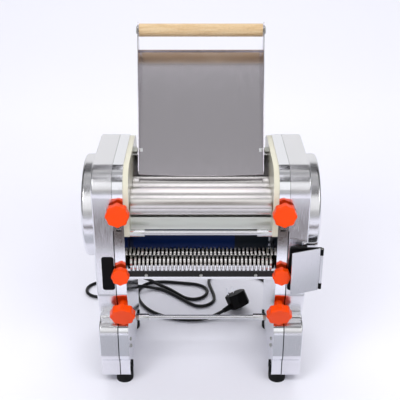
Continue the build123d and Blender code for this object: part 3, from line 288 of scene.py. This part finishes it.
# Finish of each CAD node
finishes = {
    "creamEnamel": ["left_roller_frame", "right_roller_frame"],
    "polishedStainless": ["left_gear_case", "right_gear_case"],
    "coverStainless": ["left_outer_cover", "right_outer_cover"],
    "brushedStainless": ["rear_cover", "switch_guard"],
    "chuteMirror": ["feed_chute"],
    "groundSteel": ["rear_roller", "front_roller"],
    "frontCutterSteel": ["front_cutter"],
    "rearCutterSteel": ["rear_cutter"],
    "chromePlate": ["cutter_comb", "comb_rail", "front_tie_rod",
                    "tie_rods", "tie_rod_sleeves", "plug_pins"],
    "extrudedAluminium": ["scraper_bars"],
    "blackPaint": ["comb_bar"],
    "motorBlue": ["motor_body"],
    "slatePaint": ["motor_fan_cowl"],
    "blackAbs": ["terminal_box", "switch_box", "left_blanking_panel", "cord_gland", "mains_plug",
                 "switch_rocker"],
    "orangeAbs": [f"{side}_{kind}_knob" for side in ("left", "right")
                  for kind in ("gap", "clamp", "base")],
    "rubber": ["rubber_feet"],
    "bronze": ["roller_bushes", "cutter_bushes", "roller_blocks"],
    "turnedBeech": ["wooden_rod"],
    "zincPlate": ["tie_rod_nuts", "lower_rod_nuts", "comb_screws", "gear_studs", "case_screws",
                  "chute_pivot_bolts", "guard_hinge_pin", "knob_studs", "roller_drive_gear",
                  "rear_roller_gear", "front_roller_gear", "rear_cutter_gear",
                  "front_cutter_gear", "idler_gear", "reduction_gear", "motor_shaft",
                  "left_gap_screw", "right_gap_screw", "rod_screws"],
}
for finish, names in finishes.items():
    for name in names:
        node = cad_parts[name]
        node.data.materials.clear()
        node.data.materials.append(materials[finish])
print("finishes set")

# Mains cord on the table: X, distance back and height in millimetres
cordSettings = {
    "radius": 0.0035,
    "length": 1.503,
    "exit": (165, 246, 45),
    "route": [
        (48.5, 232.5, 11.2), (30.5, 219.8, 7.5), (8, 211, 4.6), (-18, 208, 3.6), (-50, 212, 3.6),
        (-84, 225, 3.6), (-112, 246, 3.6), (-132, 277, 3.6), (-141, 311, 3.6), (-136, 341, 3.6),
        (-114, 362, 3.6), (-80, 364, 3.6), (-42, 358, 3.6), (-5, 352, 3.6), (14, 334.5, 3.6),
        (14, 308, 3.6), (-4, 290, 3.6), (-30, 290, 3.6), (-53, 314, 3.6), (-74, 336, 3.6),
        (-97, 350, 5), (-113, 356, 12), (-133, 361, 17.6), (-156, 364, 17.6), (-181, 365, 9),
        (-206, 365, 3.6), (-235, 361, 3.6), (-254, 343, 3.6), (-254, 317, 3.6), (-236, 299, 3.6),
        (-204, 298, 3.6), (-178, 305, 9), (-154, 318, 17.6), (-132, 331, 12), (-110, 336, 5),
        (-89, 331, 3.6), (-71, 318.5, 3.6), (-50, 299, 3.6), (-14, 262, 3.6), (11, 262, 3.6),
        (29.5, 281, 3.6), (29.5, 306, 3.6), (23, 334, 3.6), (17, 362, 3.6), (22, 387, 3.6),
        (42, 402, 3.6), (70, 404, 3.6), (100, 399, 3.6), (128, 386, 3.6), (151, 363, 3.6),
        (163, 332, 12), (165, 304, 33), (165, 274, 45), (165, 246, 45),
    ],
}


def makeCord(settings):
    curve = bpy.data.curves.new("mainsCord", "CURVE")
    curve.dimensions = "3D"
    curve.bevel_depth = settings["radius"]
    curve.bevel_resolution = 4
    curve.resolution_u = 6
    curve.use_fill_caps = True
    spline = curve.splines.new("NURBS")
    spline.points.add(len(settings["route"]) - 1)
    for point, spot in zip(spline.points, settings["route"]):
        point.co = (*place(*spot), 1)
    spline.order_u = 3
    spline.use_endpoint_u = True
    curve.materials.append(materials["cordPvc"])
    piece = bpy.data.objects.new("mainsCord", curve)
    bpy.context.scene.collection.objects.link(piece)
    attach(piece, "housing")
    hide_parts("mains_cord")


makeCord(cordSettings)
print("cord made")

# Small dressed pieces: the screw modelled at the origin and copied to its places, the others built
# where they stand


def finishPiece(piece, name, body, material):
    piece.name = name
    piece.data.name = name
    piece.data.materials.clear()
    piece.data.materials.append(materials[material])
    bpy.ops.object.select_all(action="DESELECT")
    piece.select_set(True)
    bpy.context.view_layer.objects.active = piece
    bpy.ops.object.transform_apply(location=True, rotation=True, scale=True)
    bpy.ops.object.shade_smooth_by_angle(angle=math.radians(35))
    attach(piece, body)


def startPiece():
    if bpy.context.object and bpy.context.object.mode != "OBJECT":
        bpy.ops.object.mode_set(mode="OBJECT")
    bpy.ops.object.select_all(action="DESELECT")


def bevelEdges(piece, width, segments=3):
    bevel = piece.modifiers.new("softEdge", "BEVEL")
    bevel.width = width
    bevel.segments = segments
    bevel.limit_method = "ANGLE"
    bevel.angle_limit = math.radians(40)
    bpy.ops.object.modifier_apply(modifier=bevel.name)


# Pan head screws in the legs: head radius and height in millimetres
legScrew = {"radius": 3.6, "height": 2.4, "edge": 0.9, "recess": 0.9, "recessWidth": 0.8,
            "side": 129.5, "spots": ((30, 82), (30, 67)), "turn": 20}


def makeScrew(settings):
    startPiece()
    bpy.ops.mesh.primitive_cylinder_add(vertices=40, radius=settings["radius"] / 1000,
                                        depth=settings["height"] / 1000,
                                        location=(0, 0, settings["height"] / 2000))
    head = bpy.context.object
    bevelEdges(head, settings["edge"] / 1000, 4)
    for turn in (0, 90):
        startPiece()
        bpy.ops.mesh.primitive_cube_add(size=1, location=(0, 0, settings["height"] / 1000))
        blade = bpy.context.object
        blade.scale = (settings["radius"] * 1.1 / 1000, settings["recessWidth"] / 1000,
                       settings["recess"] * 2 / 1000)
        blade.rotation_euler = (0, 0, math.radians(turn))
        cut = head.modifiers.new("recess", "BOOLEAN")
        cut.object = blade
        cut.operation = "DIFFERENCE"
        startPiece()
        head.select_set(True)
        bpy.context.view_layer.objects.active = head
        bpy.ops.object.modifier_apply(modifier=cut.name)
        bpy.data.objects.remove(blade)
    return head


def copyPiece(source, spot, turn):
    piece = source.copy()
    piece.data = source.data.copy()
    bpy.context.scene.collection.objects.link(piece)
    piece.location = spot
    piece.rotation_euler = turn
    return piece


screwMaster = makeScrew(legScrew)
for side, sideName in ((-1, "left"), (1, "right")):
    for number, (back, up) in enumerate(legScrew["spots"], 1):
        screw = copyPiece(screwMaster, place(side * legScrew["side"], back, up),
                          (0, math.radians(-side * 90), math.radians(legScrew["turn"] * number)))
        finishPiece(screw, f"{sideName}LegScrew{number}", "housing", "zincPlate")
bpy.data.objects.remove(screwMaster)
print("leg screws made")

# Key slot in each polished strip, below the gap knob, drawn as a thin black box that is painted shade
# for the dark inside of the groove: width, height and depth
stripSlot = {"width": 9.0, "height": 2.6, "depth": 0.6, "side": 138.25, "up": 321.0,
             "edge": 0.2}


def makeSlot(settings, x, name):
    startPiece()
    bpy.ops.mesh.primitive_cube_add(size=1, location=place(x, 0, settings["up"]))
    piece = bpy.context.object
    piece.scale = (settings["width"] / 1000, settings["depth"] / 1000, settings["height"] / 1000)
    bpy.ops.object.transform_apply(location=False, rotation=False, scale=True)
    bevelEdges(piece, settings["edge"] / 1000, 2)
    # The black is painted shade: the groove's shadow stands as a black plastic box on the strip
    finishPiece(piece, name, "housing", "blackAbs")


for side, sideName in ((-1, "left"), (1, "right")):
    makeSlot(stripSlot, side * stripSlot["side"], f"{sideName}StripSlotShade")
print("strip slots made")

# Spring latch above the switch guard: a bright tongue held by one screw
latch = {"x": 184.0, "back": -1.2, "up": 297.0, "length": 26.0, "height": 5.0, "sheet": 1.2,
         "edge": 0.4, "lift": 0.35, "forward": 0.3, "rivet": 2.6, "rivetSide": 8}


def makeLatch(settings):
    startPiece()
    bpy.ops.mesh.primitive_cube_add(
        size=1, location=place(settings["x"], settings["back"], settings["up"]))
    tongue = bpy.context.object
    tongue.scale = (settings["length"] / 1000, settings["sheet"] / 1000,
                    settings["height"] / 1000)
    bpy.ops.object.transform_apply(location=False, rotation=False, scale=True)
    bpy.ops.object.mode_set(mode="EDIT")
    bpy.ops.mesh.select_all(action="SELECT")
    bpy.ops.mesh.subdivide(number_cuts=4)
    bpy.ops.object.mode_set(mode="OBJECT")
    hook = settings["x"] / 1000 + settings["length"] / 4000
    for vertex in tongue.data.vertices:
        over = max(0.0, vertex.co.x + tongue.location.x - hook)
        vertex.co.z += over * settings["lift"]
        vertex.co.y -= over * settings["forward"]
    bevelEdges(tongue, settings["edge"] / 1000, 2)
    finishPiece(tongue, "guardLatch", "housing", "chromePlate")
    startPiece()
    bpy.ops.mesh.primitive_uv_sphere_add(
        segments=32, ring_count=16, radius=settings["rivet"] / 1000,
        location=place(settings["x"] - settings["rivetSide"],
                       settings["back"] - settings["sheet"] / 2, settings["up"]))
    rivet = bpy.context.object
    rivet.scale = (1, 0.5, 1)
    finishPiece(rivet, "guardLatchRivet", "housing", "chromePlate")


makeLatch(latch)
print("latch made")

# Pale floor, studio light and camera
stageSettings = {
    "floor": "EAEAF4",
    "ambient": 0.9,
    "wallShare": 0.3,
    "cameraSpot": (-0.0017, -1.3027, 0.9233),
    "cameraPitch": 65.0,
    "lens": 70.29,
}
# Studio brightness by angle: 0 is the horizon in front, 90 overhead, 180 the horizon behind
studioBands = [(0, 0.6), (9, 0.6), (14, 1.15), (42, 1.15), (47, 0.14), (64, 0.14), (69, 0.5),
               (88, 0.46), (90, 0.72), (97, 0.7), (101, 0.02), (127, 0.02), (133, 1.0), (180, 1.0)]


def makePanel(name, spot, width, depth, finish, pitch=0.0):
    # Flat stage panel in metres, lying or turned up by pitch
    bpy.ops.object.select_all(action="DESELECT")
    bpy.ops.mesh.primitive_plane_add(size=1, location=spot, rotation=(pitch, 0, 0))
    panel = bpy.context.object
    panel.scale = (width, depth, 1)
    bpy.ops.object.transform_apply(location=True, rotation=True, scale=True)
    panel.name = name
    panel.data.materials.append(newMaterial(name, finish)[0])


def makeCard(name, low, high, color):
    # Card on the floor in front, out of the picture, that the bright fronts reflect
    makePanel(name, (0, (low + high) / 2, 0.002), 1.5, high - low, {
        "Base Color": hexColor(color), "Roughness": 0.9, "Specular IOR Level": 0.0})


def makeSoftbox(name, low, high):
    # Narrow bright panel over the machine, seen in the rollers but beside the housings
    makePanel(name, (0, (low + high) / 2, 1.5), 0.48, high - low, {
        "Base Color": grey(0.8), "Emission Color": (1, 0.98, 1, 1), "Emission Strength": 0.95})


def makeWorld(settings):
    world = bpy.data.worlds.new("studio")
    bpy.context.scene.world = world
    world.use_nodes = True
    tree = world.node_tree
    background = tree.nodes["Background"]
    background.inputs["Strength"].default_value = settings["ambient"]
    coord = addNode(tree, "ShaderNodeTexCoord")
    split = addNode(tree, "ShaderNodeSeparateXYZ", links={"Vector": coord.outputs["Generated"]})
    ahead = mathNode(tree, "MULTIPLY", split.outputs["Y"], -1.0)
    angle = mathNode(tree, "ARCTAN2", split.outputs["Z"], ahead)
    turn = mathNode(tree, "DIVIDE", angle, math.pi)
    ramp = addNode(tree, "ShaderNodeValToRGB", links={"Fac": turn})
    rampStops(ramp, [(degrees / 180, grey(value)) for degrees, value in studioBands])
    # The studio is bright between its side walls and dimmer beyond them
    aside = mathNode(tree, "ABSOLUTE", split.outputs["X"])
    walls = addNode(tree, "ShaderNodeMapRange", {
        "From Min": 0.5, "From Max": 0.68, "To Min": 1.0, "To Max": settings["wallShare"]},
        {"Value": aside})
    dimmed = addNode(tree, "ShaderNodeVectorMath", {"operation": "SCALE"})
    tree.links.new(ramp.outputs["Color"], dimmed.inputs[0])
    tree.links.new(walls.outputs["Result"], dimmed.inputs["Scale"])
    tree.links.new(dimmed.outputs[0], background.inputs["Color"])


def addLamp(name, spot, target, size, power, mirrored=True):
    # mirrored is false for a lamp that only lights and isn't seen in the bright metal
    data = bpy.data.lights.new(name, "AREA")
    data.shape = "RECTANGLE"
    data.size, data.size_y = size
    data.energy = power
    lamp = bpy.data.objects.new(name, data)
    lamp.location = spot
    lamp.visible_glossy = mirrored
    lamp.rotation_euler = (Vector(target) - Vector(spot)).to_track_quat("-Z", "Y").to_euler()
    bpy.context.scene.collection.objects.link(lamp)


makePanel("floor", (0, 1, 0), 14, 14, {
    "Base Color": hexColor(stageSettings["floor"]), "Roughness": 0.7, "Specular IOR Level": 0.1})
makeCard("greyCard", -0.92, -0.655, "4A403C")
makeCard("paleCard", -0.44, -0.21, "B4B6BE")
# Upright dark flag behind the camera, mirrored in the rollers' fronts
makePanel("rollerFlag", (0, -1.62, 0.76), 0.44, 0.68, {
    "Base Color": grey(0.02), "Emission Color": hexColor("6A605A"), "Emission Strength": 1.0},
    math.pi / 2)
makeSoftbox("frontSoftbox", -1.0, -0.42)
makeSoftbox("rearSoftbox", 0.1, 1.5)
makeWorld(stageSettings)
addLamp("frontLamp", (0, -1.9, 3.0), (0, 0, 0.1), (3.0, 1.0), 76, mirrored=False)
addLamp("keyLamp", (-1.3, -1.5, 1.9), (0, 0, 0.2), (1.2, 1.0), 10)
addLamp("fillLamp", (1.6, -1.1, 1.5), (0, 0, 0.25), (1.0, 1.0), 6)
addLamp("backdropLamp", (0, 3.6, 3.4), (0, 3.0, 0), (7.0, 4.0), 150, mirrored=False)

camera = bpy.data.objects.new("camera", bpy.data.cameras.new("camera"))
camera.data.lens = stageSettings["lens"]
camera.data.sensor_width = 36
camera.location = stageSettings["cameraSpot"]
camera.rotation_euler = (math.radians(stageSettings["cameraPitch"]), 0, 0)
bpy.context.scene.collection.objects.link(camera)
bpy.context.scene.camera = camera
bpy.context.scene.view_settings.view_transform = "Standard"
print("stage set")
